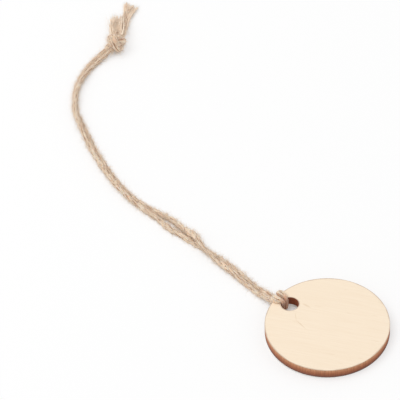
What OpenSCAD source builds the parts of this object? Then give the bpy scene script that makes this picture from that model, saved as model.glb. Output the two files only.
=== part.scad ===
// Round wooden bottle tag with a doubled twine loop.
// The disc is three glued plies. The twine is tied to it by a lark's head hitch round the bar of wood
// between the hole and the rim, and its two ends are tied in one overhand knot.
// The tag lies face up on a table: its far rim touches the table and the hitch lifts the near side.
// +Z is up, +Y runs from the middle of the disc through the hole, and the origin is under the disc.

/* [Disc] */
// Diameter of the disc
tag_d = 38; // [30:1:60]
// Thickness of the veneer on the face
face_t = 0.9; // [0.5:0.1:2]
// Thickness of the middle ply
core_t = 1.2; // [0.5:0.1:3]
// Thickness of the veneer on the back
back_t = 0.9; // [0.5:0.1:2]
// Diameter of the hole for the twine
hole_d = 5.5; // [4.8:0.1:8]
// Wood left between the hole and the rim
bar_w = 2.2; // [1.6:0.1:5]

/* [Twine] */
// Thickness of one strand
twine_d = 1.5; // [1:0.05:1.6]
// Gap between two strands that lie together
strand_gap = 0.1; // [0.05:0.05:0.5]
// Gap between the hitch and the wood
snug = 0.15; // [0.1:0.05:0.3]
// Size of the knot that joins the two ends
knot_d = 6.6; // [5:0.1:8]
// Depth of the furrows between the turns of the knot
knot_furrow = 0.5; // [0.2:0.1:0.8]
// Thickness of one of the two plies of the frayed end
ply_d = 1; // [0.6:0.1:1.2]

/* [Hitch] */
// Sideways place of the two strands in the hole
hole_side = 1.15; // [1:0.05:1.5]
// Sideways place of the bight's front leg on the face
front_side = 1.7; // [1.3:0.1:2.2]
// Sideways place of the bight's back leg on the face
back_side = 1.6; // [1.3:0.1:2.2]
// How far past the bight the doubled twine lifts
exit_run = 0.5; // [0.4:0.1:1.5]
// How far the strands have come down where it lifts
exit_fall = 0.3; // [0.1:0.05:0.5]

/* [Hidden] */

wood_face = [0.96, 0.85, 0.70];
wood_core = [0.62, 0.40, 0.28];
twine_tan = [0.80, 0.67, 0.52];

tag_r = tag_d / 2;
tag_t = back_t + core_t + face_t;
hole_y = tag_r - bar_w - hole_d / 2;
hole_edge = tag_r - bar_w;
bar_mid = tag_r - bar_w / 2;
twine_r = twine_d / 2;
pair_gap = twine_d + strand_gap;

// The strands under the bar are pressed flat by a tenth of their thickness and tilt the disc
pressed = twine_d / 10;
under_z = twine_r - pressed;
tilt = asin((under_z + twine_r + snug) / (tag_r + bar_mid));

// Where the strands can lie: in the hole, over the face and round the rim
hole_room = hole_d / 2 - twine_r - snug;
hole_v = hole_y + sqrt(hole_room * hole_room - hole_side * hole_side);
face_w = tag_t + twine_r + snug;
rim_v = tag_r + twine_r + snug;

// Number of sides of a strand, of the disc and of the hole
strand_sides = 8;
disc_fn = 96;
hole_fn = 48;
// The side that a ring's first corner is counted from, along no stretch of the twine
first_side = [1, 0.1, 0.2];
// Rings between two points of the hitch
hitch_steps = 2;
// How far the hitch cuts its corners, and how far it eases into a bend
corner_cut = 0.3;
ease = 0.1;
// Heights of the strands in the hole, as parts of the disc's thickness
hole_levels = [0.25, 0.5, 0.8];

// The bight crosses under the strands, which come up between it and the rim and leave over it
cross_y = rim_v + pair_gap + 2 * ease;
over_z = under_z + pair_gap + 2 * ease;
// The bight's round end: its half width, where it begins beside the strands, its points and how square it is
loop_side = 1.5 * pair_gap + 2 * ease;
loop_y = rim_v + pair_gap / 3;
loop_z = under_z + 1.5 * pair_gap;
loop_turns = [0, 25, 50, 75];
loop_round = 0.6;

// The doubled twine lifts about this line, just outside the bight
lift_y = cross_y + twine_r + exit_run;
exit_z = over_z - exit_fall;

// How far the tool that cuts the hole runs past a ply
run_out = 1;

// Routes of the doubled twine, measured from the line where it lifts. Each row holds X, Y, the height
// over lying on the table, the angle that the pair is turned about its route, and its spare width.
near_route = [
    [0, 0, exit_z - twine_r, 0, 0],
    [0, 0.9, exit_z - twine_r - 0.35, 0, 0],
    [1.2, 3.1, 0.25, 0, 0],
    [2.1, 6.9, 0, -8, 0],
    [3.2, 11.7, 0, -12, 0.05],
    [4.2, 16.7, 0, -22, 0.05],
    [5, 21.5, 0, -45, 0.05],
    [5.6, 24.7, 0, -72, 0.05],
    [6.1, 27.1, 0, -88, 0]
];
// The strands are stacked here, and the far stretch swings about this place
swing_at = [6.3, 28];
far_route = [
    [swing_at.x, swing_at.y, 0, -90, 0],
    [6.8, 30.2, 0, -112, 0.1],
    [7.4, 32.5, 0, -145, 0.5],
    [8.3, 35.5, 0, -180, 1.3],
    [9, 40, 0, -180, 1.9],
    [9.8, 44.9, 0, -180, 2.2],
    [10.6, 49.7, 0, -180, 1.5],
    [10.8, 54.1, 0, -190, 0.5],
    [11.3, 58.8, 0, -195, 0.1],
    [12.3, 64.1, 0, -205, 0.1],
    [14.2, 69.8, 0, -210, 0.1],
    [16.8, 75.9, 0, -210, 0.1],
    [19.9, 82, 0, -210, 0.1],
    [23.1, 87.7, 0, -212, 0.1],
    [26.8, 93.4, 0, -215, 0.1],
    [30.4, 99, 0, -230, 0.1],
    [34.1, 103.9, 0, -255, 0.1],
    [38.7, 107.9, 0, -275, 0.1],
    [43.2, 110.8, 0, -300, 0.1],
    [48, 112.7, 0, -325, 0.1],
    [52.8, 113.9, 0, -345, 0.1],
    [57.3, 114.2, 0.2, -360, 0.1],
    [61.1, 113.8, 0.8, -360, 0],
    [64.4, 113, 1.6, -360, 0]
];
// The knot and the two tails, measured from the same line
knot_at = [66.7, 112.2];
// Height of the knot's middle, as a part of its size: it lies a little flattened
knot_rise = 0.44;
long_tail_route = [
    [69.2, 112.9, 2.8],
    [72.2, 114.3, 2.6],
    [75.4, 116.2, 2],
    [78.5, 118.4, 1.3],
    [81.8, 120.8, 0.8]
];
left_ply_route = [[81.2, 120.5, 0.8], [84.2, 122.8, 0.65], [87, 124.8, 0.5]];
right_ply_route = [[81.2, 120.3, 0.8], [84.3, 121.1, 0.65], [87.3, 120.9, 0.5]];
short_tail_route = [
    [68.1, 114.2, 3.7],
    [71, 116.4, 3.3],
    [74.4, 119.5, 2.2],
    [77.5, 122.7, 0.9]
];

// Turns of the knot that show, and how far they lean
knot_turns = 3;
knot_lean = 1.4;
knot_step = 15;

function unit(v) = v / norm(v);
function last(list) = list[len(list) - 1];

// A point of the disc's own frame, X along the bar, Y outward and Z from the back face, laid on the table
function laid(p) = [
    p.x,
    p.y * cos(tilt) - p.z * sin(tilt) + tag_t * sin(tilt) / 2,
    p.y * sin(tilt) + p.z * cos(tilt) + tag_r * sin(tilt)
];

// A route's point measured from the lift line
function from_exit(p) = [p.x, p.y + lift_y, p.z];

// A smooth curve through a list of points
function between(a, b, c, d, t) =
    0.5 * (2 * b + (c - a) * t + (2 * a - 5 * b + 4 * c - d) * t * t + (3 * b - a - 3 * c + d) * t * t * t);
function smooth(p, steps) = concat(
    [
        for (i = [0 : len(p) - 2], k = [0 : steps - 1])
            between(p[max(i - 1, 0)], p[i], p[i + 1], p[min(i + 2, len(p) - 1)], k / steps)
    ],
    [last(p)]
);

// Directions along a list of points, and one side of each ring carried along without twist
function heading(p, i) = unit(p[min(i + 1, len(p) - 1)] - p[max(i - 1, 0)]);
function square_to(v, t) = unit(v - (v * t) * t);
function ring_sides(p) = [
    for (i = 0, s = square_to(first_side, heading(p, 0)); i < len(p);
        i = i + 1, s = i < len(p) ? square_to(s, heading(p, i)) : s) s
];

// One strand of the pair along a route: side is -1 for strand a and 1 for strand b
function pair_side(route, i) =
    let (t = heading([for (p = route) [p.x, p.y, 0]], i)) [t.y, -t.x, 0];
function strand(route, side) = [
    for (i = [0 : len(route) - 1])
        let (row = route[i], apart = pair_gap + row[4])
            from_exit([row.x, row.y, row.z + twine_r])
                + side * apart / 2 * cos(row[3]) * pair_side(route, i)
                + [0, 0, apart * max(0, side * sin(row[3]))]
];

// A strand that turns at its start begins with a round end about the first point
round_back = [0.95, 0.7];
round_size = [0.31, 0.71];
function round_start(p) =
    concat([for (b = round_back) p[0] - b * twine_r * heading(p, 0)], p);
function round_radii(p) =
    concat(twine_r * round_size, [for (q = p) twine_r]);

// A tube of triangles round a list of points, kept above the table
module tube(p, radii) {
    n = strand_sides;
    sides = ring_sides(p);
    skin = [
        for (i = [0 : len(p) - 1], k = [0 : n - 1])
            let (
                a = (k + 0.5) * 360 / n,
                t = heading(p, i),
                q = p[i] + radii[i] * (cos(a) * sides[i] + sin(a) * cross(t, sides[i]))
            ) [q.x, q.y, max(q.z, 0)]
    ];
    walls = [
        for (i = [0 : len(p) - 2], k = [0 : n - 1])
            let (a = i * n + k, b = i * n + (k + 1) % n)
                each [[a, a + n, b], [b, a + n, b + n]]
    ];
    top = (len(p) - 1) * n;
    ends = [for (k = [1 : n - 2]) each [[0, k, k + 1], [top, top + k + 1, top + k]]];
    polyhedron(skin, concat(walls, ends));
}

module even_tube(p, d) {
    tube(p, [for (q = p) d / 2]);
}

// One ply of the disc, from height low to height high over the back face
module ply(low, high) {
    translate([0, tag_t * sin(tilt) / 2, tag_r * sin(tilt)])
        rotate([tilt, 0, 0])
            translate([0, 0, low])
                difference() {
                    cylinder(h = high - low, d = tag_d, $fn = disc_fn);
                    translate([0, hole_y, -run_out])
                        cylinder(h = high - low + 2 * run_out, d = hole_d, $fn = hole_fn);
                }
}

module back_veneer() {
    color(wood_face) ply(0, back_t);
}

module core_ply() {
    color(wood_core) ply(back_t, back_t + core_t);
}

module face_veneer() {
    color(wood_face) ply(back_t + core_t, tag_t);
}

// Half of the hitch from where a strand leaves it: over the bight, down beside the rim, under the bar and up the hole
function hitch_end(side) = concat(
    [
        [side * pair_gap / 2, lift_y - twine_r - strand_gap, over_z - ease / 2],
        [side * pair_gap / 2, cross_y - ease, over_z],
        [side * pair_gap / 2, cross_y - pair_gap / 2, over_z - 2 * ease],
        [side * pair_gap / 2, rim_v + corner_cut, under_z + twine_r],
        [side * pair_gap / 2, rim_v - corner_cut, under_z + 2 * ease],
        [side * pair_gap / 2, tag_r - corner_cut, under_z],
        [side * pair_gap / 2, bar_mid, under_z],
        [side * (pair_gap / 2 + ease), hole_edge - ease, under_z],
        [side * (hole_side - ease / 2), hole_v + corner_cut, under_z + 2 * ease]
    ],
    [for (level = hole_levels) laid([side * hole_side, hole_v, level * tag_t])]
);

// Half of the bight: a leg over the bar, out past the rim and down round the strands
function bight_leg(side, leg_side) = concat(
    [
        for (p = [
            [side * hole_side, hole_v + corner_cut, face_w - corner_cut + ease / 2],
            [side * (hole_side + leg_side) / 2, hole_edge, face_w],
            [side * leg_side, bar_mid, face_w],
            [side * leg_side, tag_r, face_w],
            [side * (leg_side + ease), rim_v - 2 * ease, tag_t + corner_cut + ease]
        ]) laid(p)
    ],
    [
        for (a = loop_turns) [
            side * loop_side * pow(cos(a), loop_round),
            loop_y + (cross_y - loop_y) * sin(a),
            loop_z + (under_z - loop_z) * sin(a)
        ]
    ]
);

function reversed(p) = [for (i = [len(p) - 1 : -1 : 0]) p[i]];

bight = concat(bight_leg(-1, front_side), [[0, cross_y, under_z]], reversed(bight_leg(1, back_side)));
hitch_points = concat(hitch_end(-1), bight, reversed(hitch_end(1)));

module twine_hitch() {
    color(twine_tan) even_tube(smooth(hitch_points, hitch_steps), twine_d);
}

// The doubled stretch next to the hitch, which lifts off the table
module near_strand(side) {
    p = strand(near_route, side);
    color(twine_tan) tube(round_start(p), round_radii(p));
}

module near_strand_a() {
    near_strand(-1);
}

module near_strand_b() {
    near_strand(1);
}

// The rest of the doubled twine, which swings about the place where the strands cross
module far_strand(side) {
    p = strand(far_route, side);
    color(twine_tan) tube(round_start(p), round_radii(p));
}

module far_strand_a() {
    far_strand(-1);
}

module far_strand_b() {
    far_strand(1);
}

// The knot: a ball with leaning furrows between its turns, flat where it lies on the table
module twine_knot() {
    lats = [-90 + knot_step : knot_step : 90 - knot_step];
    lons = [0 : knot_step : 360 - knot_step];
    n = len([for (j = lons) j]);
    rows = len([for (i = lats) i]);
    centre = from_exit([knot_at.x, knot_at.y, knot_rise * knot_d]);
    function seat(q) = [q.x, q.y, max(q.z, 0)];
    function shell(lat, lon) =
        let (r = knot_d / 2 - knot_furrow * cos(lat) * (0.5 - 0.5 * cos(knot_turns * lon + knot_lean * lat)))
            seat(centre + r * [sin(lat), cos(lat) * cos(lon), cos(lat) * sin(lon)]);
    skin = concat(
        [shell(-90, 0)],
        [for (lat = lats, lon = lons) shell(lat, lon)],
        [shell(90, 0)]
    );
    walls = [
        for (i = [0 : rows - 2], j = [0 : n - 1])
            let (a = 1 + i * n + j, b = 1 + i * n + (j + 1) % n)
                each [[a, a + n, b], [b, a + n, b + n]]
    ];
    top = 1 + (rows - 1) * n;
    ends = [
        for (j = [0 : n - 1])
            each [[0, 1 + j, 1 + (j + 1) % n], [top + j, top + n, top + (j + 1) % n]]
    ];
    color(twine_tan) polyhedron(skin, concat(walls, ends));
}

function tail(route) = [for (p = route) from_exit(p)];

// The long tail ends in its two plies, which have come apart
module long_tail() {
    color(twine_tan) union() {
        even_tube(tail(long_tail_route), twine_d);
        even_tube(tail(left_ply_route), ply_d);
        even_tube(tail(right_ply_route), ply_d);
    }
}

module short_tail() {
    color(twine_tan) even_tube(tail(short_tail_route), twine_d);
}

face_veneer();
core_ply();
back_veneer();
twine_hitch();
near_strand_a();
near_strand_b();
far_strand_a();
far_strand_b();
twine_knot();
long_tail();
short_tail();
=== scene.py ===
"""Wooden bottle tag: a laser-cut plywood disc on a doubled loop of two-ply jute twine."""
import math

import bpy
import numpy as np
from mathutils import Color, Matrix, Vector


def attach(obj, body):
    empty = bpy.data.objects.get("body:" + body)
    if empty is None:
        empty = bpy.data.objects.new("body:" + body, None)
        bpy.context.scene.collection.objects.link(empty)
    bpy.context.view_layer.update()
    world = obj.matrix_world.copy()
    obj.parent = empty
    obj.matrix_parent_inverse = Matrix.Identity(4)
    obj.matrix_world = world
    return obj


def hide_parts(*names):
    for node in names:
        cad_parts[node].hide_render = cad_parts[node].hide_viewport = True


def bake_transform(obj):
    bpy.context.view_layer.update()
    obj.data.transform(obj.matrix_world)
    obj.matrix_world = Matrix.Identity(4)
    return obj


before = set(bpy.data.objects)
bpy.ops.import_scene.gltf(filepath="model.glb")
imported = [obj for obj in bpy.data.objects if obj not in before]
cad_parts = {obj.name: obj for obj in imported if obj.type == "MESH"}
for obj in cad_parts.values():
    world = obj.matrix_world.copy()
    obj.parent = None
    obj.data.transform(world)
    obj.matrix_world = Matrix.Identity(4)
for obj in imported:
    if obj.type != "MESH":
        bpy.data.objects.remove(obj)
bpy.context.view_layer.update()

# Sizes of the disc and the twine in metres, as the solids have them
TAG_D = 0.038
TAG_T = 0.003
HOLE_D = 0.0055
BAR_W = 0.0022
TWINE_D = 0.0015
HOLE_TWINE_R = 0.0006
STRAND_GAP = 0.0001
PRESS = 0.00015
PRESSED_SHARE = 0.1
SNUG = 0.00015
HOLE_SIDE = 0.0008
FRONT_SIDE = 0.0016
BACK_SIDE = 0.0011
EXIT_RUN = 0.0005
EXIT_FALL = 0.0003
CORNER_CUT = 0.0003
EASE = 0.0001
HOLE_LEVELS = (0.25, 0.5, 0.8)

TAG_R = TAG_D / 2
HOLE_R = HOLE_D / 2
HOLE_EDGE = TAG_R - BAR_W
HOLE_Y = HOLE_EDGE - HOLE_R
BAR_MID = TAG_R - BAR_W / 2
TWINE_R = TWINE_D / 2
PAIR_GAP = TWINE_D + STRAND_GAP - PRESS
UNDER_Z = TWINE_R - PRESSED_SHARE * TWINE_D
TILT = math.asin((UNDER_Z + TWINE_R + SNUG) / (TAG_R + BAR_MID))
HOLE_ROOM = HOLE_R - HOLE_TWINE_R
HOLE_V = HOLE_Y + math.sqrt(HOLE_ROOM ** 2 - HOLE_SIDE ** 2)
FACE_W = TAG_T + TWINE_R + SNUG
RIM_V = TAG_R + TWINE_R + SNUG
LIFT_Y = RIM_V + TWINE_D + STRAND_GAP + 2 * EASE + TWINE_R + EXIT_RUN
EXIT_Z = UNDER_Z + TWINE_D + STRAND_GAP + 2 * EASE - EXIT_FALL

# Where the disc's own frame sits: its back face's middle on the table
DISC_AT = (0, TAG_T * math.sin(TILT) / 2, TAG_R * math.sin(TILT))

# The hitch is drawn tight: half widths of the pair and of the loop round it, and where the loop runs
HITCH_X = 0.0003
HITCH_HALF = 0.00064
LOOP_SIDE = 0.0016
LOOP_UP = 0.0022
LOOP_Y = RIM_V - 4 * EASE
LOOP_Z = UNDER_Z + LOOP_UP
LOOP_TURNS = (0, 25, 50, 75)
LOOP_ROUND = 0.6
CROSS_OUT = 0.0012
CROSS_Y = RIM_V + CROSS_OUT
CROSS_Z = 0.001
OVER_Z = EXIT_Z + 3 * EASE

# Routes of the doubled twine from the line where it lifts:
# X, Y, height over lying, turn of the pair in degrees and spare width
NEAR_ROUTE = (
    (0.0004, 0, EXIT_Z - TWINE_R + 2 * EASE, 0, 0),
    (0.0007, 0.0009, EXIT_Z - TWINE_R - EASE, 0, 0),
    (0.0012, 0.0031, 0.00025, 0, 0),
    (0.0021, 0.0069, 0, -8, 0),
    (0.0032, 0.0117, 0, -12, 0.00005),
    (0.0043, 0.0167, 0, -22, 0.00005),
    (0.0052, 0.0215, 0, -20, 0.00005),
    (0.0058, 0.0247, 0, -29, 0.00005),
    (0.0062, 0.0271, 0, -50, 0),
)
SWING_AT = (0.0063, 0.028)
FAR_ROUTE = (
    (*SWING_AT, 0, -57, 0),
    (0.0068, 0.0302, 0, -73, 0),
    (0.0074, 0.0325, 0, -110, 0.0004),
    (0.0083, 0.0355, 0, -150, 0.0006),
    (0.009, 0.04, 0, -180, 0.001),
    (0.0098, 0.0449, 0, -180, 0.0017),
    (0.0106, 0.0497, 0, -180, 0.0008),
    (0.0108, 0.0541, 0, -190, 0.0002),
    (0.0113, 0.0588, 0, -195, -0.0002),
    (0.0123, 0.0641, 0, -205, -0.0002),
    (0.0142, 0.0698, 0, -210, -0.0002),
    (0.0168, 0.0759, 0, -210, -0.0002),
    (0.0199, 0.082, 0, -210, -0.0002),
    (0.0231, 0.0877, 0, -212, -0.0002),
    (0.0268, 0.0934, 0, -215, -0.0002),
    (0.0304, 0.099, 0, -230, -0.0002),
    (0.0341, 0.1039, 0, -255, -0.0002),
    (0.0387, 0.1079, 0, -275, -0.0002),
    (0.0432, 0.1108, 0, -300, -0.0002),
    (0.048, 0.1127, 0, -325, -0.0002),
    (0.0528, 0.1139, 0, -345, -0.0002),
    (0.0573, 0.1142, 0.0002, -360, -0.0002),
    (0.0611, 0.1138, 0.0008, -360, 0),
)

# The two ends past the knot, their loose plies, and where each frayed brush starts and ends
KNOT_AT = (0.0667, 0.1122, 0.0034)
LONG_TAIL = (
    (0.0722, 0.1143, 0.0026),
    (0.0754, 0.1162, 0.002),
    (0.0785, 0.1184, 0.0013),
    (0.0818, 0.1208, 0.0008),
)
LEFT_PLY = ((0.0842, 0.1228, 0.00065), (0.087, 0.1248, 0.0005))
RIGHT_PLY = ((0.0844, 0.1216, 0.00065), (0.0872, 0.122, 0.0005))
SHORT_TAIL = ((0.0714, 0.1158, 0.0033), (0.0749, 0.1188, 0.0022))
SHORT_PLY_A = ((0.0763, 0.1207, 0.0014), (0.0776, 0.1224, 0.0007))
SHORT_PLY_B = ((0.0768, 0.1201, 0.0014), (0.0787, 0.1213, 0.0008))
SHORT_BRUSH = ((0.068, 0.1137, 0.0046), (0.0785, 0.1222, 0.002))
LONG_BRUSH = ((0.0712, 0.1138, 0.0026), (0.0828, 0.1211, 0.0008))

# The overhand knot: each strand's way round the knot's middle, along the twine, to its left and up
KNOT_A = (
    (-0.00315, 0.00055, -0.0006), (-0.0024, 0.0006, -0.0007), (-0.00155, 0.0007, -0.0003),
    (-0.00085, 0.0006, 0.00085), (0, 0.00035, 0.0016), (0.00115, 0.0001, 0.00105),
    (0.0015, 0.0003, -0.00085), (0.00105, 0.001, -0.0024), (0.0004, 0.0015, -0.00205),
    (-0.00025, 0.00175, -0.00125), (-0.0008, 0.0015, 0.0011), (-0.00115, 0.00085, 0.0023),
    (-0.0013, 0, 0.00245), (-0.0013, -0.00105, 0.00145), (-0.0012, -0.0012, -0.0006),
    (-0.0007, -0.00035, -0.0019), (-0.0003, 0.00055, -0.0015), (0.00005, 0.0013, -0.00005),
    (0.0007, 0.0019, 0.0012), (0.00125, 0.0025, 0.0013),
)
KNOT_B = (
    (-0.00305, -0.00035, -0.0007), (-0.00195, -0.00035, -0.00055), (-0.0013, -0.0004, 0.0003),
    (0, -0.0008, 0.00095), (0.00135, -0.0009, 0.00055), (0.00195, -0.00045, 0.0002),
    (0.00205, 0.00075, -0.00055), (0.00135, 0.00175, -0.00125), (0.00065, 0.00225, -0.0008),
    (-0.0004, 0.0025, 0.0003), (-0.0014, 0.00195, 0.0009), (-0.00195, 0.0008, 0.0015),
    (-0.0021, -0.0002, 0.00155), (-0.002, -0.0014, 0.00045), (-0.0012, -0.00205, -0.0008),
    (-0.00045, -0.0017, -0.0013), (0.0002, -0.0006, -0.00165), (0.00085, 0.00075, -0.00075),
    (0.0013, 0.0013, 0.00055), (0.0021, 0.0021, 0.001),
)
KNOT_HEADING = (0.967, -0.254)
KNOT_SIZE = (1.08, 1.12, 1.12)
KNOT_ROUNDS = 12

# The camera stands where the picture was taken
CAMERA_AIM = Vector((0.0244, 0.06784, 0))
CAMERA_FROM = (math.radians(-48.819), math.radians(43.619))
CAMERA_ROLL = math.radians(-5.118)
CAMERA_FAR = 1
CAMERA_LENS = 282.85
CAMERA_NEAREST = 0.01


def make_camera():
    turn, climb = CAMERA_FROM
    back = Vector((math.sin(turn) * math.cos(climb), -math.cos(turn) * math.cos(climb), math.sin(climb)))
    right = Vector((0, 0, 1)).cross(back).normalized()
    up = back.cross(right)
    across = right * math.cos(CAMERA_ROLL) + up * math.sin(CAMERA_ROLL)
    upward = up * math.cos(CAMERA_ROLL) - right * math.sin(CAMERA_ROLL)
    camera = bpy.data.objects.new("camera", bpy.data.cameras.new("camera"))
    camera.data.lens = CAMERA_LENS
    camera.data.clip_start = CAMERA_NEAREST
    facing = Matrix((across, upward, back)).transposed().to_4x4()
    camera.matrix_world = Matrix.Translation(CAMERA_AIM + back * CAMERA_FAR) @ facing
    bpy.context.scene.collection.objects.link(camera)
    bpy.context.scene.camera = camera


make_camera()

# Lines of the twine: the step between their points, and the steps in which a curve is drawn first
STEP = 0.0003
TWINE_STEPS = 10
KNOT_STEPS = 8
KNOT_KEEP = 4
LOOSE_STEPS = 12
FIRST_SIDE = (0.3, 0.2, 1)


def unit(v):
    return v / np.linalg.norm(v)


def units(rows):
    """Directions in rows, each made 1 long."""
    return rows / np.linalg.norm(rows, axis=1)[:, None]


def laid(u, v, w):
    """A point of the disc's own frame on the table."""
    c, s = math.cos(TILT), math.sin(TILT)
    return np.array((u, v * c - w * s + DISC_AT[1], v * s + w * c + DISC_AT[2]))


def from_lift(point):
    """A point of the routes, which start where the twine lifts, on the table."""
    return np.array((point[0], point[1] + LIFT_Y, point[2]))


def strand(route, side):
    """One strand of the pair along a route."""
    heading = units(np.gradient(np.array([row[:2] for row in route]), axis=0))
    line = []
    for (x, y, height, turn, spare), t in zip(route, heading):
        apart = PAIR_GAP + spare
        turn = math.radians(turn)
        offset = side * apart / 2 * math.cos(turn) * np.array((t[1], -t[0], 0))
        over = apart * max(0, side * math.sin(turn))
        line.append(from_lift((x, y, height + TWINE_R)) + offset + (0, 0, over))
    return line


def hitch_end(side):
    """From where a strand leaves the hitch: over the bight, beside the rim, under the bar and up the hole."""
    half = side * HITCH_HALF
    middle = HITCH_X + half
    low = [
        (middle + side * EASE / 2, LIFT_Y - TWINE_R - STRAND_GAP, OVER_Z),
        (middle, CROSS_Y, OVER_Z),
        (middle, CROSS_Y - TWINE_R, OVER_Z - 2 * EASE),
        (middle, RIM_V + 2 * EASE, UNDER_Z + TWINE_R),
        (middle, RIM_V - CORNER_CUT, UNDER_Z + 2 * EASE),
        (middle - HITCH_X / 2, TAG_R - CORNER_CUT, UNDER_Z),
        (half, BAR_MID, UNDER_Z),
        (half + side * EASE, HOLE_EDGE - EASE, UNDER_Z),
        (side * (HOLE_SIDE - EASE / 2), HOLE_V + EASE, UNDER_Z + 2 * EASE),
    ]
    return [np.array(p) for p in low] + [laid(side * HOLE_SIDE, HOLE_V, k * TAG_T) for k in HOLE_LEVELS]


def bight_leg(side, leg_side):
    """Half of the bight: a leg over the bar, out past the rim and down round the strands."""
    leg = [laid(*p) for p in (
        (side * HOLE_SIDE, HOLE_V + EASE, FACE_W - CORNER_CUT + EASE / 2),
        (side * (HOLE_SIDE + leg_side) / 2, HOLE_EDGE, FACE_W),
        (side * leg_side, BAR_MID, FACE_W),
        (side * leg_side, TAG_R, FACE_W),
        (side * (leg_side + EASE), RIM_V - 5 * EASE, TAG_T + CORNER_CUT + EASE),
    )]
    for turn in LOOP_TURNS:
        c, d = math.cos(math.radians(turn)), math.sin(math.radians(turn))
        leg.append(np.array((
            HITCH_X + side * LOOP_SIDE * c ** LOOP_ROUND,
            LOOP_Y + (CROSS_Y - LOOP_Y) * d,
            LOOP_Z + (CROSS_Z - LOOP_Z) * d,
        )))
    return leg


def bight():
    crossing_point = np.array((HITCH_X, CROSS_Y, CROSS_Z))
    return bight_leg(-1, FRONT_SIDE) + [crossing_point] + bight_leg(1, BACK_SIDE)[::-1]


def curve_through(points, steps):
    """A smooth line through points, with that many steps between two of them."""
    p = np.array(points, float)
    p = np.vstack((2 * p[0] - p[1], p, 2 * p[-1] - p[-2]))
    t = np.linspace(0, 1, steps, endpoint=False)[:, None]
    made = []
    for a, b, c, d in zip(p, p[1:], p[2:], p[3:]):
        square = (2 * a - 5 * b + 4 * c - d) * t ** 2
        cube = (3 * b - a - 3 * c + d) * t ** 3
        made.append((2 * b + (c - a) * t + square + cube) / 2)
    return np.vstack(made + [p[-2][None]])


def evenly(line, step):
    """The line with its points at even steps."""
    run = np.concatenate(([0], np.cumsum(np.linalg.norm(np.diff(line, axis=0), axis=1))))
    at = np.linspace(0, run[-1], max(2, round(run[-1] / step) + 1))
    return np.stack([np.interp(at, run, line[:, k]) for k in range(3)], 1)


def eased(line, rounds):
    """The line with its sharp turns taken off."""
    line = line.copy()
    for _ in range(rounds):
        line[1:-1] += (line[:-2] + line[2:]) / 4 - line[1:-1] / 2
    return line


def headings(line):
    return units(np.gradient(line, axis=0))


def knot_strand(turns):
    """One strand through the knot, on the table."""
    x, y = KNOT_HEADING
    line = []
    for turn in turns:
        ahead, left, up = np.multiply(turn, KNOT_SIZE)
        line.append(from_lift(KNOT_AT) + (ahead * x - left * y, ahead * y + left * x, up))
    return list(eased(evenly(curve_through(line, KNOT_STEPS), STEP), KNOT_ROUNDS)[::KNOT_KEEP])


def tail(points):
    return [from_lift(p) for p in points]


# One length of twine from the short end to the long end
half_a = strand(NEAR_ROUTE, -1) + strand(FAR_ROUTE, -1) + knot_strand(KNOT_A) + tail(SHORT_TAIL)
half_b = strand(NEAR_ROUTE, 1) + strand(FAR_ROUTE, 1) + knot_strand(KNOT_B) + tail(LONG_TAIL)
twine_points = half_a[::-1] + hitch_end(-1) + bight() + hitch_end(1)[::-1] + half_b
twine_line = evenly(curve_through(twine_points, TWINE_STEPS), STEP)
line_x, line_y, line_z = twine_line.T
along = np.arange(len(twine_line)) * STEP

# Near and far strands part before the swing, where both follow the same body
PART_Y = LIFT_Y + 0.024
in_near = np.where(line_y < PART_Y)[0]
part_a, part_b = in_near[0], in_near[-1]

# Yarn of the twine: two plies laid round each other, which wander a little
LAY_LENGTH = 0.0066
LAY_EVERY = 40
LAY_WANDER = 0.5
PLY_OFF = 0.00014
PLY_R = 0.00069
PLY_SIDES = 12
PLY_ROUNDS = 5
PLY_EVERY = 14
PLY_WANDER = 0.06
PLY_APART = 0.05

# Where the twine is fuller or thinner, and by what share
EDGE = 0.004
OPEN_FROM = LIFT_Y + 0.0322
OPEN_TO = LIFT_Y + 0.0542
OPEN_SWELL = 0.08
LUMP_Y = LIFT_Y + 0.0368
LUMP_LENGTH = 0.0032
LUMP_SWELL = 0.5
NEAR_LUMP_Y = LIFT_Y + 0.0185
NEAR_LUMP_LENGTH = 0.005
NEAR_LUMP_SWELL = 0.2
NIP_Y = LIFT_Y + 0.0282
NIP_LENGTH = 0.0034
NIP_SWELL = -0.28
SLIM_X = 0.036
SLIM_LENGTH = 0.011
SLIM_SWELL = -0.14
TAIL_LENGTH = 0.013
TAIL_SWELL = 0.15
LEG_EDGE = 0.001
LEG_FROM = 0.0058
LEG_TO = 0.0085
LEG_SWELL = 0.4
LOOP_SWELL = -0.38
HOLE_SWELL = -0.18
KNOT_FULL = 0.003
KNOT_PLAIN = 0.005
KNOT_SWELL = 0.5
KNOT_REACH = 0.0034

# Loose plies, hairs and the locks and fibres of frayed ends
LOOSE_THIN = 0.35
LOOSE_GRIP = 8
HAIR_R = 0.000025
HAIR_SIDES = 3
HAIR_THIN = 0.7
HAIR_VARIETY = 0.01
HAIR_THICKNESS = (0.6, 1.3)
HAIR_AROUND = 0.9
HAIR_ROOT = 0.95
HAIR_CURL = 0.3
MM_PER_METRE = 1000
LOCK_R = 0.00028
LOCK_ASIDE = 0.06
LOCK_HEIGHT = 0.2
LOCK_REACH = (0.82, 1)
LOCK_BEND = 0.15
LOCK_RISE = 0.2
LOCK_EVERY = 6
LOCK_WANDER = 0.1
FIBRE_R = 0.000035
FIBRE_SHARE = 0.6
FIBRE_ROOTS = (0, 0.5)
FIBRE_HEIGHT = 0.6
FIBRE_REACH = (0.7, 1.1)
FIBRE_ASIDE = 0.25
FIBRE_RISE = 0.3
FIBRE_CURL = 0.0005
FIBRE_STEPS = 5
SEED = 7
rng = np.random.default_rng(SEED)


def carried_sides(line):
    """A side of each point carried along the line without twist."""
    t = headings(line)
    side = np.cross(t[0], FIRST_SIDE)
    sides = []
    for d in t:
        side = unit(side - (side @ d) * d)
        sides.append(side)
    return t, np.array(sides)


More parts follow.
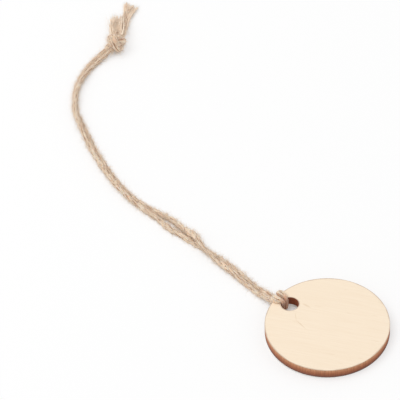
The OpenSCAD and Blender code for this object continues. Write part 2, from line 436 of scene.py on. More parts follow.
def rise(value, low, high):
    """0 below a limit and 1 above another, smooth between them."""
    f = np.clip((value - low) / (high - low), 0, 1)
    return f * f * (3 - 2 * f)


def past(value, limit, edge):
    """0 before a limit and 1 past it, smooth over an edge on both sides of it."""
    return rise(value, limit - edge, limit + edge)


def hump(value, middle, length):
    """1 at the middle of a stretch, and smoothly less away from it."""
    return np.exp(-((value - middle) / length) ** 2)


def wander(count, every, size):
    """Smooth random values along a line."""
    knots = rng.normal(0, size, count // every + 2)
    base = np.arange(count) // every
    f = rise(np.arange(count) / every - base, 0, 1)
    return knots[base] * (1 - f) + knots[base + 1] * f


line_t, line_n = carried_sides(twine_line)
line_b = np.cross(line_t, line_n)
lay_turn = 2 * np.pi * along / LAY_LENGTH + wander(len(along), LAY_EVERY, LAY_WANDER)

# How full the twine is along its length
fullness = 1 + OPEN_SWELL * past(line_y, OPEN_FROM, EDGE) * (1 - past(line_y, OPEN_TO, EDGE))
in_half_a = np.arange(len(along)) < part_a
fullness += in_half_a * LUMP_SWELL * hump(line_y, LUMP_Y, LUMP_LENGTH)
fullness += NEAR_LUMP_SWELL * hump(line_y, NEAR_LUMP_Y, NEAR_LUMP_LENGTH)
fullness += NIP_SWELL * hump(line_y, NIP_Y, NIP_LENGTH)
fullness += SLIM_SWELL * hump(line_x, SLIM_X, SLIM_LENGTH)
crossing = np.argmin(np.linalg.norm(twine_line - (HITCH_X, CROSS_Y, CROSS_Z), axis=1))
from_crossing = np.abs(along - along[crossing])
past_loop = past(from_crossing, LEG_FROM, LEG_EDGE)
past_leg = past(from_crossing, LEG_TO, LEG_EDGE)
in_hole = past_leg * (line_y < HOLE_EDGE)
fullness += LOOP_SWELL * (1 - past_loop) + LEG_SWELL * past_loop * (1 - past_leg) + HOLE_SWELL * in_hole
from_knot = np.linalg.norm(twine_line - from_lift(KNOT_AT), axis=1)
fullness += KNOT_SWELL * (1 - rise(from_knot, KNOT_FULL, KNOT_PLAIN))
to_end = np.minimum(along, along[-1] - along)
fullness += TAIL_SWELL * (1 - rise(to_end, 0, TAIL_LENGTH))
ply_swell = [fullness * (1 + wander(len(along), PLY_EVERY, PLY_WANDER)) for ply in range(2)]

# The hitch begins and ends at the foot of the hole, and the knot where the strands go into it
foot = line_y + line_z
foot_a = part_a + np.argmin(foot[part_a:crossing])
foot_b = crossing + np.argmin(foot[crossing:part_b])
into_knot = np.where(from_knot < KNOT_REACH)[0]
tied_a = into_knot[into_knot < part_a][-1]
tied_b = into_knot[into_knot > part_b][0]
hitch_at = np.arange(foot_a, foot_b + 1)
near_a_at = np.arange(part_a, foot_a + 1)
near_b_at = np.arange(part_b, foot_b - 1, -1)
far_a_at = np.arange(part_a, tied_a - 1, -1)
far_b_at = np.arange(part_b, tied_b + 1)
knot_a_at = np.arange(tied_a, -1, -1)
knot_b_at = np.arange(tied_b, len(twine_line))


def spokes(first, second, count):
    """That many directions round each point of a line, from two sides of it."""
    a = 2 * np.pi * np.arange(count) / count
    return np.cos(a)[:, None] * first[:, None] + np.sin(a)[:, None] * second[:, None]


class Yarn:
    """Mesh data of plies and hairs, with where each point lies in the yarn."""

    def __init__(self):
        self.points, self.faces, self.places, self.count = [], [], [], 0

    def rings(self, points, places):
        """Closed rows of rings, as arrays of row, ring, point and axis."""
        rows, length, sides, _ = points.shape
        points[..., 2] = np.maximum(points[..., 2], 0)
        at = self.count + np.arange(rows * length * sides).reshape(rows, length, sides)
        onward = np.roll(at, -1, 2)
        quads = np.stack((at[:, :-1], onward[:, :-1], onward[:, 1:], at[:, 1:]), -1)
        self.faces += quads.reshape(-1, 4).tolist() + at[:, 0, ::-1].tolist() + at[:, -1].tolist()
        self.points.append(points.reshape(-1, 3))
        self.places.append(places.reshape(-1, 3))
        self.count += rows * length * sides

    def tube(self, centres, radii, s, sides, ups):
        """A ply with a ring round each centre; sides and ups are carried along the twine without twist."""
        t = headings(centres)
        d = units(sides - (sides * t).sum(1)[:, None] * t)
        ring = radii[:, None, None] * spokes(d, np.cross(t, d), PLY_SIDES)
        lengthwise = np.repeat(s[:, None], PLY_SIDES, 1)
        sideways, upward = (ring * sides[:, None]).sum(-1), (ring * ups[:, None]).sum(-1)
        self.rings((centres[:, None] + ring)[None], np.stack((lengthwise, sideways, upward), -1)[None])

    def hairs(self, roots, ways, curls, radii, steps):
        """Fine fibres of three sides that thin to their tips."""
        f = np.linspace(0, 1, steps + 1)
        lines = roots[:, None] + f[:, None] * ways[:, None] + (f * f)[:, None] * curls[:, None]
        lines[..., 2] = np.maximum(lines[..., 2], HAIR_R)
        side = units(np.cross(ways, rng.normal(0, 1, ways.shape)))
        ring = spokes(side, units(np.cross(ways, side)), HAIR_SIDES)
        thick = radii[:, None] * (1 - HAIR_THIN * f)
        points = lines[:, :, None] + thick[:, :, None, None] * ring[:, None]
        tone = rng.uniform(0, HAIR_VARIETY, (len(roots), 1, 1, 3))
        self.rings(points, np.broadcast_to(tone, points.shape))

    def piece(self, name, material):
        mesh = bpy.data.meshes.new(name)
        mesh.from_pydata(np.vstack(self.points).tolist(), [], self.faces)
        mesh.polygons.foreach_set("use_smooth", [True] * len(mesh.polygons))
        place = mesh.attributes.new("yarn_place", "FLOAT_VECTOR", "POINT")
        place.data.foreach_set("vector", np.vstack(self.places).astype(np.float32).ravel())
        mesh.materials.append(material)
        mesh.update()
        made = bpy.data.objects.new(name, mesh)
        bpy.context.scene.collection.objects.link(made)
        return made


def ply_at(ply, at):
    """Centres and outward sides of one ply at points of the twine."""
    a = lay_turn[at] + math.pi * ply
    out = np.cos(a)[:, None] * line_n[at] + np.sin(a)[:, None] * line_b[at]
    return twine_line[at] + (PLY_OFF * fullness[at])[:, None] * out, out


ply_lines = [eased(ply_at(ply, np.arange(len(twine_line)))[0], PLY_ROUNDS) for ply in range(2)]


def loose_ply(centres, route):
    """The way on of a ply that has come loose past the last of its centres."""
    held, last = centres[-LOOSE_GRIP], centres[-1]
    line = evenly(curve_through([held, last, *route], LOOSE_STEPS), STEP)
    return line[np.linalg.norm(line - held, axis=1) > np.linalg.norm(last - held)]


def lay_twine(yarn, at, loose=None):
    """Both plies along points of the twine, each going on loose past the last."""
    for ply in range(2):
        centres = ply_lines[ply][at]
        radii = PLY_R * ply_swell[ply][at]
        carried = np.arange(len(at))
        if loose is not None:
            more = loose_ply(centres, loose[ply])
            centres = np.vstack((centres, more))
            radii = np.concatenate((radii, radii[-1] * np.linspace(1, LOOSE_THIN, len(more))))
            carried = np.minimum(np.arange(len(centres)), len(at) - 1)
        s = along[at[0]] + STEP * np.arange(len(centres)) + PLY_APART * ply
        yarn.tube(centres, radii, s, line_n[at][carried], line_b[at][carried])


def stray_hairs(yarn, at, per_mm, lengths, lifts, steps):
    """Fibres that stand out of the twine or lie along it, of some lengths and lifts."""
    at = rng.choice(at, int(len(at) * STEP * MM_PER_METRE * per_mm))
    count = (len(at), 1)
    centres, out = ply_at(rng.integers(0, 2, len(at)), at)
    around = rng.normal(0, HAIR_AROUND, count)
    outward = np.cos(around) * out + np.sin(around) * np.cross(line_t[at], out)
    roots = centres + PLY_R * HAIR_ROOT * fullness[at][:, None] * outward
    lean = outward * rng.uniform(*lifts, count) + line_t[at] * rng.choice((-1, 1), count)
    length = rng.uniform(*lengths, count)
    curls = length * rng.normal(0, HAIR_CURL, (len(at), 3)) * rng.uniform(*lifts, count)
    yarn.hairs(roots, length * lean, curls, HAIR_R * rng.uniform(*HAIR_THICKNESS, len(at)), steps)


def frayed_end(yarn, start, end, locks, fibres, root_spread, spread):
    """The opened end of a ply: locks of fibre side by side, with loose fibres among them."""
    start, end = np.array(start), np.array(end)
    way = end - start
    up = np.array((0, 0, 1.0))
    across = unit(np.cross(up, way))
    for share in np.linspace(-1, 1, locks):
        aside = share + rng.normal(0, LOCK_ASIDE)
        root = start + root_spread * aside * across + root_spread * LOCK_HEIGHT * rng.normal() * up
        tip = start + way * rng.uniform(*LOCK_REACH) + spread * aside * across
        swerve = LOCK_BEND * rng.normal() * across + LOCK_RISE * rng.uniform() * up
        line = evenly(curve_through([root, (root + tip) / 2 + spread * swerve, tip], LOOSE_STEPS), STEP)
        radii = LOCK_R * np.linspace(1, LOOSE_THIN, len(line))
        radii = radii * (1 + wander(len(line), LOCK_EVERY, LOCK_WANDER))
        s = rng.uniform() + STEP * np.arange(len(line))
        yarn.tube(line, radii, s, np.tile(across, (len(line), 1)), np.tile(up, (len(line), 1)))
    count = (fibres, 1)
    share = rng.normal(0, FIBRE_SHARE, count)
    roots = start + way * rng.uniform(*FIBRE_ROOTS, count) + root_spread * share * across
    roots[:, 2] += rng.normal(0, root_spread * FIBRE_HEIGHT, fibres)
    reach = way * rng.uniform(*FIBRE_REACH, count)
    tips = start + reach + spread * (share + rng.normal(0, FIBRE_ASIDE, count)) * across
    tips[:, 2] += rng.normal(0, spread * FIBRE_RISE, fibres)
    curls = rng.normal(0, FIBRE_CURL, (fibres, 3))
    radii = FIBRE_R * rng.uniform(*HAIR_THICKNESS, fibres)
    yarn.hairs(roots, tips - roots - curls, curls, radii, FIBRE_STEPS)


# Materials: white on a screen, and a mix node's places of the share and the two colours, and of its result
SCREEN_WHITE = 255
MIX_IN = (0, 6, 7)
MIX_OUT = 2


def linear(*screen):
    """A colour as it looks on a screen, from 0 to 255, as Blender's nodes take it."""
    return (*Color([v / SCREEN_WHITE for v in screen]).from_srgb_to_scene_linear(), 1)


# Cut by the laser: width of the scorch and how its smoke varies it, limits of a wall, and the wall's streaks
SCORCH_W = 0.0004
SMOKE_FINE = 260.0
SMOKE_DETAIL = 3.0
SMOKE_LIMITS = (0.25, 0.75, 0.5, 1.5)
WALL_LIMITS = (0.4, 0.7, 1.0, 0.0)
CUT_FINE = (5200, 5200, 260)
CUT_DETAIL = 2.0

# Grain of a veneer: how fine it is across and along, its detail and roughness
GRAIN_TURN = math.radians(22)
GRAIN_STREAKS = (2600, 90, 4, 0.6)
GRAIN_BANDS = (240, 22, 2, 0.5)
GRAIN_FLECKS = (1500, 170, 1, 0.5)
GRAIN_PORES = (5200, 240, 2, 0.5)
FLECK_LIMITS = (0.7, 0.8)

# Jute: how fine its fibres are along the yarn, and then for each kind
# how fine it is across, its share of the fineness along, and its detail
FIBRES_ALONG = 420.0
FINE_FIBRES = (11000, 1.0, 2)
FIBRE_BUNDLES = (3000, 0.6, 1)
TONE_PATCHES = (300, 0.5, 2)
BARK_BITS = (2200, 2.2, 1)
FINE_SHARE = 0.6
PATCH_SHARE = 0.4
GAP_LIMITS = (0.34, 0.48, 1.0, 0.0)
BARK_LIMITS = (0.69, 0.75)
BUNDLE_HEIGHT = 1.5
# Painted shade on the twine at the hole: how far past the hole's edge it reaches, and its share
HOLE_SHADE_REACH = 0.0008
HOLE_SHADE_SHARE = 0.7

# Bare wood, burnt where it is cut
FACE_PALE = linear(252, 235, 212)
FACE_DARK = linear(248, 229, 204)
FLECK = linear(222, 194, 160)
CORE_PALE = linear(240, 214, 180)
CORE_DARK = linear(226, 196, 158)
SCORCH = linear(184, 160, 140)
HOLE_BURN = linear(160, 90, 58)
CHAR = linear(92, 56, 42)
RIM_BURN = (
    (0.02, linear(118, 84, 74)),
    (0.3, linear(158, 96, 68)),
    (0.6, linear(186, 120, 84)),
    (0.95, linear(214, 158, 120)),
)
CORE_SHIFT = 0.11
BACK_SHIFT = 0.23
STREAK_LIMITS = (0.3, 0.75)
BAND_LIMITS = (0.3, 0.7, 0.0, 0.35)
CHAR_LIMITS = (0.35, 0.7, 0.0, 0.35)
MARK_LIMITS = (0.2, 1.0, 1.0, 0.0)
FLECK_SHARE = 0.22
SCORCH_SHARE = 0.8
WOOD_ROUGH = 0.62
STREAK_ROUGH = 0.25
WOOD_BUMP = {"Strength": 0.25, "Distance": 0.00003}
WOOD_FEEL = {"Specular IOR Level": 0.3}

# A fine dark line with a bend below the hole, and a smudge beside it: place, turn, half sizes and share
FACE_MARKS = (
    ((-0.0032, 0.0095), math.radians(-47), (0.0002, 0.0022), 0.4),
    ((-0.0049, 0.0063), math.radians(-15), (0.0002, 0.0032), 0.6),
    ((0.0024, 0.0095), math.radians(1), (0.0005, 0.0021), 0.4),
)

# Dry jute: dark, middle and pale tones of the twine, its hairs and its frayed ends,
# and how much gaps and bark show in each
TONE_PLACES = (0.3, 0.5, 0.7)
TWINE_TONES = (linear(212, 177, 149), linear(245, 220, 195), linear(254, 241, 222))
HAIR_TONES = (linear(238, 208, 178), linear(251, 231, 207), linear(255, 242, 224))
FRAY_TONES = (linear(254, 221, 194), linear(255, 237, 215), linear(255, 245, 230))
JUTE_GAP = linear(150, 100, 66)
JUTE_BARK = linear(112, 66, 44)
# Painted shade of the twine in the hole: a warm brown for the hole's shade and the light off its burnt wall
JUTE_HOLE_SHADE = linear(226, 174, 146)
TWINE_GAPS = 0.8
HAIR_GAPS = 0.1
FRAY_GAPS = 0.06
TWINE_SOFT = 0.35
JUTE_BUMP = {"Strength": 0.6, "Distance": 0.00006}
JUTE_FEEL = {
    "Roughness": 0.85,
    "Specular IOR Level": 0.2,
    "Sheen Weight": 0.25,
    "Subsurface Radius": (1, 0.75, 0.55),
    "Subsurface Scale": 0.0005,
}


def put(tree, socket, value):
    """A value or a link into a socket."""
    if isinstance(value, bpy.types.NodeSocket):
        tree.links.new(value, socket)
    else:
        socket.default_value = value


def add(tree, kind, values=None, **settings):
    """A node with its settings, and values or links for its sockets."""
    made = tree.nodes.new(kind)
    for key, value in settings.items():
        setattr(made, key, value)
    for key, value in (values or {}).items():
        put(tree, made.inputs[key], value)
    return made


def math_of(tree, operation, *values, clamp=False):
    made = add(tree, "ShaderNodeMath", dict(enumerate(values)), operation=operation, use_clamp=clamp)
    return made.outputs[0]


def times(tree, vector, factors):
    """A vector times the factors of its axes."""
    return add(tree, "ShaderNodeVectorMath", {0: vector, 1: factors}, operation="MULTIPLY").outputs[0]


def noise_of(tree, vector, **values):
    return add(tree, "ShaderNodeTexNoise", {"Vector": vector, **values}).outputs["Fac"]


def between(tree, value, low, high, to_low=0.0, to_high=1.0):
    """A value's smooth rise from to_low to to_high between two limits."""
    limits = {"From Min": low, "From Max": high, "To Min": to_low, "To Max": to_high}
    made = add(tree, "ShaderNodeMapRange", {"Value": value, **limits}, interpolation_type="SMOOTHSTEP")
    return made.outputs["Result"]


def mix_colours(tree, share, first, second):
    sockets = dict(zip(MIX_IN, (share, first, second)))
    return add(tree, "ShaderNodeMix", sockets, data_type="RGBA").outputs[MIX_OUT]


def new_group(name, inputs, outputs):
    """An empty node group with float inputs and named outputs; returns it and its two ends."""
    group = bpy.data.node_groups.new(name, "ShaderNodeTree")
    for label, value in inputs:
        socket = group.interface.new_socket(label, in_out="INPUT", socket_type="NodeSocketFloat")
        socket.default_value = value
    for label in outputs:
        group.interface.new_socket(label, in_out="OUTPUT", socket_type="NodeSocketFloat")
    return group, group.nodes.new("NodeGroupInput"), group.nodes.new("NodeGroupOutput")


def give(tree, given, **outputs):
    """Links from a group's nodes to its named outputs."""
    for label, value in outputs.items():
        tree.links.new(value, given.inputs[label])


def use_group(tree, group, **values):
    made = tree.nodes.new("ShaderNodeGroup")
    made.node_tree = group
    for key, value in values.items():
        made.inputs[key].default_value = value
    return made.outputs


def disc_place(tree):
    """Where a point lies in the disc's own frame, and the way that it faces."""
    place = add(tree, "ShaderNodeTexCoord")
    seat = {"Vector": place.outputs["Object"], "Location": DISC_AT, "Rotation": (TILT, 0, 0)}
    mapped = add(tree, "ShaderNodeMapping", seat, vector_type="TEXTURE")
    return mapped.outputs["Vector"], place.outputs["Normal"]


def hole_distance(tree, place):
    """How far a point is from the hole's middle, seen from above."""
    spots = {0: times(tree, place, (1, 1, 0)), 1: (0, HOLE_Y, 0)}
    return add(tree, "ShaderNodeVectorMath", spots, operation="DISTANCE").outputs["Value"]


def make_laser_cut():
    """Masks of the laser's cut: its walls, the hole's part of them, scorch, height and streaks."""
    tree, taken, given = new_group(
        "laser_cut", [("Scorch width", SCORCH_W)], ["Wall", "Hole", "Scorch", "Level", "Streaks"])
    place, normal = disc_place(tree)
    flat = times(tree, place, (1, 1, 0))
    from_middle = add(tree, "ShaderNodeVectorMath", {0: flat}, operation="LENGTH").outputs["Value"]
    to_rim = math_of(tree, "SUBTRACT", TAG_R, from_middle)
    to_hole = math_of(tree, "SUBTRACT", hole_distance(tree, place), HOLE_R)
    upright = add(tree, "ShaderNodeSeparateXYZ", {"Vector": normal}).outputs["Z"]
    height = add(tree, "ShaderNodeSeparateXYZ", {"Vector": place}).outputs["Z"]
    nearest = math_of(tree, "MINIMUM", to_rim, to_hole)
    smoke = noise_of(tree, place, Scale=SMOKE_FINE, Detail=SMOKE_DETAIL)
    smoke_share = between(tree, smoke, *SMOKE_LIMITS)
    reach = math_of(tree, "MULTIPLY", taken.outputs["Scorch width"], smoke_share)
    give(
        tree, given,
        Wall=between(tree, math_of(tree, "ABSOLUTE", upright), *WALL_LIMITS),
        Hole=math_of(tree, "LESS_THAN", to_hole, to_rim),
        Scorch=math_of(tree, "SUBTRACT", 1.0, math_of(tree, "DIVIDE", nearest, reach), clamp=True),
        Level=math_of(tree, "DIVIDE", height, TAG_T),
        Streaks=noise_of(tree, times(tree, place, CUT_FINE), Scale=1.0, Detail=CUT_DETAIL),
    )
    return tree


def make_wood_grain():
    """Fine grain of a veneer along the disc: streaks, soft bands, dark flecks and the height of its pores."""
    tree, taken, given = new_group("wood_grain", [("Shift", 0.0)], ["Streaks", "Bands", "Flecks", "Height"])
    place, _ = disc_place(tree)
    shift = add(tree, "ShaderNodeCombineXYZ", {"X": taken.outputs["Shift"]}).outputs[0]
    moved = add(tree, "ShaderNodeVectorMath", {0: place, 1: shift}).outputs[0]
    turn = {"Vector": moved, "Angle": -GRAIN_TURN}
    turned = add(tree, "ShaderNodeVectorRotate", turn, rotation_type="Z_AXIS").outputs[0]

    def grain(across, length, detail, rough):
        scaled = times(tree, turned, (across, length, across))
        return noise_of(tree, scaled, Scale=1.0, Detail=detail, Roughness=rough)

    streaks = grain(*GRAIN_STREAKS)
    flecks = between(tree, grain(*GRAIN_FLECKS), *FLECK_LIMITS)
    raised = math_of(tree, "ADD", grain(*GRAIN_PORES), streaks)
    height = math_of(tree, "SUBTRACT", raised, flecks)
    give(tree, given, Streaks=streaks, Bands=grain(*GRAIN_BANDS), Flecks=flecks, Height=height)
    return tree


def make_jute_fibres():
    """Fibres of the yarn, along the twine: tone, dark gaps between bundles, bits of bark and height."""
    tree, taken, given = new_group(
        "jute_fibres", [("Length", FIBRES_ALONG)], ["Tone", "Gaps", "Bark", "Height"])
    place = add(tree, "ShaderNodeAttribute", attribute_name="yarn_place").outputs["Vector"]

    def fibre(across, share, detail):
        length = math_of(tree, "MULTIPLY", taken.outputs["Length"], share)
        stretch = add(tree, "ShaderNodeCombineXYZ", {"X": length, "Y": across, "Z": across}).outputs[0]
        return noise_of(tree, times(tree, place, stretch), Scale=1.0, Detail=detail)

    fine = fibre(*FINE_FIBRES)
    bundles = fibre(*FIBRE_BUNDLES)
    fine_tone = math_of(tree, "MULTIPLY", fine, FINE_SHARE)
    patch_tone = math_of(tree, "MULTIPLY", fibre(*TONE_PATCHES), PATCH_SHARE)
    give(
        tree, given,
        Tone=math_of(tree, "ADD", fine_tone, patch_tone),
        Gaps=between(tree, bundles, *GAP_LIMITS),
        Bark=between(tree, fibre(*BARK_BITS), *BARK_LIMITS),
        Height=math_of(tree, "ADD", fine, math_of(tree, "MULTIPLY", bundles, BUNDLE_HEIGHT)),
    )
    return tree


def make_hole_painted_shade():
    """Painted shade on the twine at the burnt hole, most inside it: a darker, warmer brown in place of the
    hole's shade and the light off its burnt wall.
    """
    tree, taken, given = new_group("hole_painted_shade", [("Reach", HOLE_SHADE_REACH)], ["Soot"])
    place, _ = disc_place(tree)
    outer = math_of(tree, "ADD", taken.outputs["Reach"], HOLE_R)
    inner = math_of(tree, "SUBTRACT", HOLE_R, taken.outputs["Reach"])
    give(tree, given, Soot=between(tree, hole_distance(tree, place), inner, outer, 1.0, 0.0))
    return tree


laser_cut, wood_grain = make_laser_cut(), make_wood_grain()
jute_fibres, hole_painted_shade = make_jute_fibres(), make_hole_painted_shade()


def new_finish(name, feel):
    """A material with plain values on its shader; returns it, its nodes and the shader."""
    material = bpy.data.materials.new(name)
    material.use_nodes = True
    tree = material.node_tree
    shader = tree.nodes["Principled BSDF"]
    for socket, value in feel.items():
        shader.inputs[socket].default_value = value
    return material, tree, shader


def ramp(tree, value, stops):
    """Colours at places along a value."""
    made = add(tree, "ShaderNodeValToRGB", {"Fac": value})
    band = made.color_ramp.elements
    while len(band) < len(stops):
        band.new(1 / 2)
    for element, (at, colour) in zip(band, stops):
        element.position, element.color = at, colour
    return made.outputs["Color"]


def tint(tree, colour, mask, share, over):
    """A colour laid over another where a mask says, in some share."""
    return mix_colours(tree, math_of(tree, "MULTIPLY", mask, share), colour, over)


def mark(tree, at, turn, size):
    """A faint stroke in the veneer: 1 along its middle, with its place, turn and half sizes on the disc."""
    place, _ = disc_place(tree)
    seat = {"Location": (*at, TAG_T), "Rotation": (0, 0, turn), "Scale": (*size, TAG_T)}
    mapped = add(tree, "ShaderNodeMapping", {"Vector": place, **seat}, vector_type="TEXTURE").outputs[0]
    far = add(tree, "ShaderNodeVectorMath", {0: mapped}, operation="LENGTH").outputs["Value"]
    return between(tree, far, *MARK_LIMITS)


def ply_finish(name, shift, pale, dark, marks=()):
    """Bare veneer on the face of a ply, burnt brown at its cut edge."""
    material, tree, shader = new_finish(name, WOOD_FEEL)
    grain = use_group(tree, wood_grain, Shift=shift)
    cut = use_group(tree, laser_cut)
    wood = mix_colours(tree, between(tree, grain["Streaks"], *STREAK_LIMITS), pale, dark)
    wood = mix_colours(tree, between(tree, grain["Bands"], *BAND_LIMITS), wood, dark)
    wood = tint(tree, wood, grain["Flecks"], FLECK_SHARE, FLECK)
    for at, turn, size, share in marks:
        wood = tint(tree, wood, mark(tree, at, turn, size), share, FLECK)
    wood = tint(tree, wood, cut["Scorch"], SCORCH_SHARE, SCORCH)
    burnt = mix_colours(tree, cut["Hole"], ramp(tree, cut["Level"], RIM_BURN), HOLE_BURN)
    burnt = mix_colours(tree, between(tree, cut["Streaks"], *CHAR_LIMITS), burnt, CHAR)
    tree.links.new(mix_colours(tree, cut["Wall"], wood, burnt), shader.inputs["Base Color"])
    rough = math_of(tree, "ADD", WOOD_ROUGH, math_of(tree, "MULTIPLY", grain["Streaks"], STREAK_ROUGH))
    tree.links.new(rough, shader.inputs["Roughness"])
    raised = math_of(tree, "ADD", grain["Height"], math_of(tree, "MULTIPLY", cut["Streaks"], cut["Wall"]))
    bump = add(tree, "ShaderNodeBump", {"Height": raised, **WOOD_BUMP})
    tree.links.new(bump.outputs[0], shader.inputs["Normal"])
    return material


def jute_finish(name, tones, gaps, soft):
    """Dry jute: tan fibres with dark gaps between their bundles, browned by painted shade at the hole."""
    material, tree, shader = new_finish(name, {**JUTE_FEEL, "Subsurface Weight": soft})
    fibres = use_group(tree, jute_fibres)
    colour = ramp(tree, fibres["Tone"], list(zip(TONE_PLACES, tones)))
    colour = tint(tree, colour, fibres["Gaps"], gaps, JUTE_GAP)
    colour = tint(tree, colour, fibres["Bark"], gaps, JUTE_BARK)
    # Painted shade browns the twine in and near the hole
    colour = tint(tree, colour, use_group(tree, hole_painted_shade)["Soot"], HOLE_SHADE_SHARE, JUTE_HOLE_SHADE)
    tree.links.new(colour, shader.inputs["Base Color"])
    bump = add(tree, "ShaderNodeBump", {"Height": fibres["Height"], **JUTE_BUMP})
    tree.links.new(bump.outputs[0], shader.inputs["Normal"])
    return material


face_wood = ply_finish("face_wood", 0, FACE_PALE, FACE_DARK, FACE_MARKS)
core_wood = ply_finish("core_wood", CORE_SHIFT, CORE_PALE, CORE_DARK)
back_wood = ply_finish("back_wood", BACK_SHIFT, FACE_PALE, FACE_DARK)
twine_jute = jute_finish("twine_jute", TWINE_TONES, TWINE_GAPS, TWINE_SOFT)
hair_jute = jute_finish("hair_jute", HAIR_TONES, HAIR_GAPS, 0)
fray_jute = jute_finish("fray_jute", FRAY_TONES, FRAY_GAPS, 0)

# Near hairs start this far from where the loop of the hitch crosses
HITCH_LENGTH = 0.016

# Hairs of the twine: how many per mm, shortest and longest, least and most lift, and bends
FUZZ = (30, (0.0004, 0.0011), (0.5, 1.5), 1)
HITCH_HAIRS = ((12, (0.0004, 0.0009), (0.2, 0.7), 1),)
NEAR_HAIRS = (FUZZ, (14, (0.0008, 0.00216), (0.3, 0.9), 3), (6, (0.001, 0.00252), (0.05, 0.3), 3))
FAR_HAIRS = (FUZZ, (14, (0.0008, 0.0024), (0.3, 0.9), 3), (6, (0.001, 0.0028), (0.05, 0.3), 3))

# Frayed ends: how many locks and fibres, and half widths at the root and at the tip
SHORT_FRAY = (28, 300, 0.0019, 0.0023)
LONG_FRAY = (8, 160, 0.0008, 0.0012)
LEFT_FRAY = (9, 120, 0.0007, 0.0009)
RIGHT_FRAY = (20, 240, 0.0009, 0.002)
SHORT_LOOSE = (tail(SHORT_PLY_A), tail(SHORT_PLY_B))
LONG_LOOSE = (tail(LEFT_PLY), tail(RIGHT_PLY))
FORK = from_lift(LONG_TAIL[2])


def make_twine(name, *runs):
    """A piece of the twine from runs of its points, each with the ways of its plies past the last."""
    yarn = Yarn()
    for at, loose in runs:
        lay_twine(yarn, at, loose)
    return yarn.piece(name, twine_jute)


def make_hairs(name, at, kinds, material, *brushes):
    """The hairs along points of the twine, with the brushes of frayed ends."""
    yarn = Yarn()
    for kind in kinds:
        stray_hairs(yarn, at, *kind)
    for brush in brushes:
        frayed_end(yarn, *brush)
    return yarn.piece(name, material)


hitch = make_twine("hitch_twine", (hitch_at, None))
near_strand_a = make_twine("near_twine_a", (near_a_at, None))
near_strand_b = make_twine("near_twine_b", (near_b_at, None))
far_strand_a = make_twine("far_twine_a", (far_a_at, None))
far_strand_b = make_twine("far_twine_b", (far_b_at, None))
knot = make_twine("knot_twine", (knot_a_at, SHORT_LOOSE), (knot_b_at, LONG_LOOSE))

near_at = np.concatenate((near_a_at, near_b_at))
free_at = near_at[from_crossing[near_at] > HITCH_LENGTH]
knot_at = np.concatenate((knot_a_at, knot_b_at))
hitch_hairs = make_hairs("hitch_hairs", hitch_at, HITCH_HAIRS, hair_jute)
near_hairs = make_hairs("near_hairs", free_at, NEAR_HAIRS, hair_jute)
far_hairs_a = make_hairs("far_hairs_a", far_a_at, FAR_HAIRS, hair_jute)
far_hairs_b = make_hairs("far_hairs_b", far_b_at, FAR_HAIRS, hair_jute)
knot_hairs = make_hairs(
    "knot_hairs", knot_at, FAR_HAIRS, fray_jute,
    (*tail(SHORT_BRUSH), *SHORT_FRAY),
    (*tail(LONG_BRUSH), *LONG_FRAY),
    (FORK, LONG_LOOSE[0][-1], *LEFT_FRAY),
    (FORK, LONG_LOOSE[1][-1], *RIGHT_FRAY),
)

# The near and far strands and their hairs stay where they lie; the hitch goes with the tag, the knot with the
# far twine
for piece in (near_strand_a, near_strand_b, near_hairs):
    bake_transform(piece)
for piece in (far_strand_a, far_strand_b, far_hairs_a, far_hairs_b):
    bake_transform(piece)
for piece, body in ((hitch, "tag"), (hitch_hairs, "tag"), (knot, "far_twine"), (knot_hairs, "far_twine")):
    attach(piece, body)
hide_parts("twine_hitch")
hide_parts("near_strand_a")
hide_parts("near_strand_b")
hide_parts("far_strand_a")
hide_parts("far_strand_b")
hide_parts("twine_knot", "short_tail", "long_tail")


# The disc keeps its solids
for node, material in (("face_veneer", face_wood), ("core_ply", core_wood), ("back_veneer", back_wood)):
    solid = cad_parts[node]
    solid.data.materials.clear()
    solid.data.materials.append(material)

# Table, light and background: the table glows white to the camera, less where something close covers it
WHITE = (1, 1, 1, 1)
FLOOR_SIZE = 6
FLOOR_DROP = 0.00002
FLOOR_FEEL = {"Base Color": (0.97, 0.97, 0.97, 1), "Roughness": 0.9, "Specular IOR Level": 0}
FLOOR_SHARE = 0.6
COVER_REACH = 0.01
COVER_SAMPLES = 6
COVERED = 0.0
OPEN = 0.32
SKY_LIGHT = 0.69
LAMP_AT = (-0.25, 0.5, 1.1)
LAMP_POWER = 6.1
LAMP_SIZE = 0.9


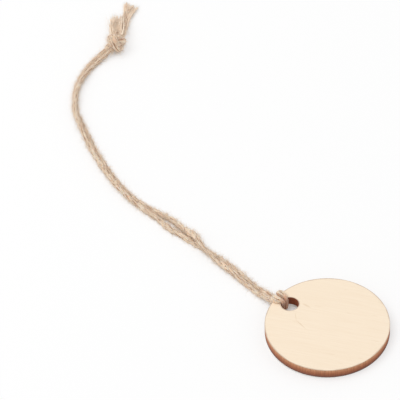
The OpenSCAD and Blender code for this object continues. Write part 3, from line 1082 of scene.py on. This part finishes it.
def seen_directly(tree):
    """1 for what the camera sees directly or in a gloss or through glass."""
    path = tree.nodes.new("ShaderNodeLightPath").outputs
    seen = math_of(tree, "MAXIMUM", path["Is Camera Ray"], path["Is Glossy Ray"])
    return math_of(tree, "MAXIMUM", seen, path["Is Transmission Ray"])


def make_floor():
    mesh = bpy.data.meshes.new("floor")
    h = FLOOR_SIZE / 2
    mesh.from_pydata([(-h, -h, 0), (h, -h, 0), (h, h, 0), (-h, h, 0)], [], [(0, 1, 2, 3)])
    floor = bpy.data.objects.new("floor", mesh)
    floor.location.z = -FLOOR_DROP
    bpy.context.scene.collection.objects.link(floor)
    material, tree, shader = new_finish("floor_white", FLOOR_FEEL)
    glow = add(tree, "ShaderNodeEmission", {"Color": WHITE, "Strength": 1.0})
    cover = add(tree, "ShaderNodeAmbientOcclusion", {"Distance": COVER_REACH}, samples=COVER_SAMPLES)
    glow_share = between(tree, cover.outputs["AO"], COVERED, OPEN, 0.0, FLOOR_SHARE)
    share = math_of(tree, "MULTIPLY", seen_directly(tree), glow_share)
    both = add(tree, "ShaderNodeMixShader", {0: share, 1: shader.outputs[0], 2: glow.outputs[0]})
    tree.links.new(both.outputs[0], tree.nodes["Material Output"].inputs["Surface"])
    mesh.materials.append(material)


def make_light():
    world = bpy.data.worlds.new("soft_white")
    world.use_nodes = True
    bpy.context.scene.world = world
    tree = world.node_tree
    strength = between(tree, seen_directly(tree), 0.0, 1.0, SKY_LIGHT, 1.0)
    sky = tree.nodes["Background"]
    sky.inputs["Color"].default_value = WHITE
    tree.links.new(strength, sky.inputs["Strength"])
    lamp = bpy.data.objects.new("soft_lamp", bpy.data.lights.new("soft_lamp", "AREA"))
    lamp.data.energy = LAMP_POWER
    lamp.data.size = LAMP_SIZE
    lamp.location = LAMP_AT
    lamp.rotation_euler = (CAMERA_AIM - Vector(LAMP_AT)).to_track_quat("-Z", "Y").to_euler()
    bpy.context.scene.collection.objects.link(lamp)


make_floor()
make_light()
bpy.context.scene.view_settings.view_transform = "Standard"
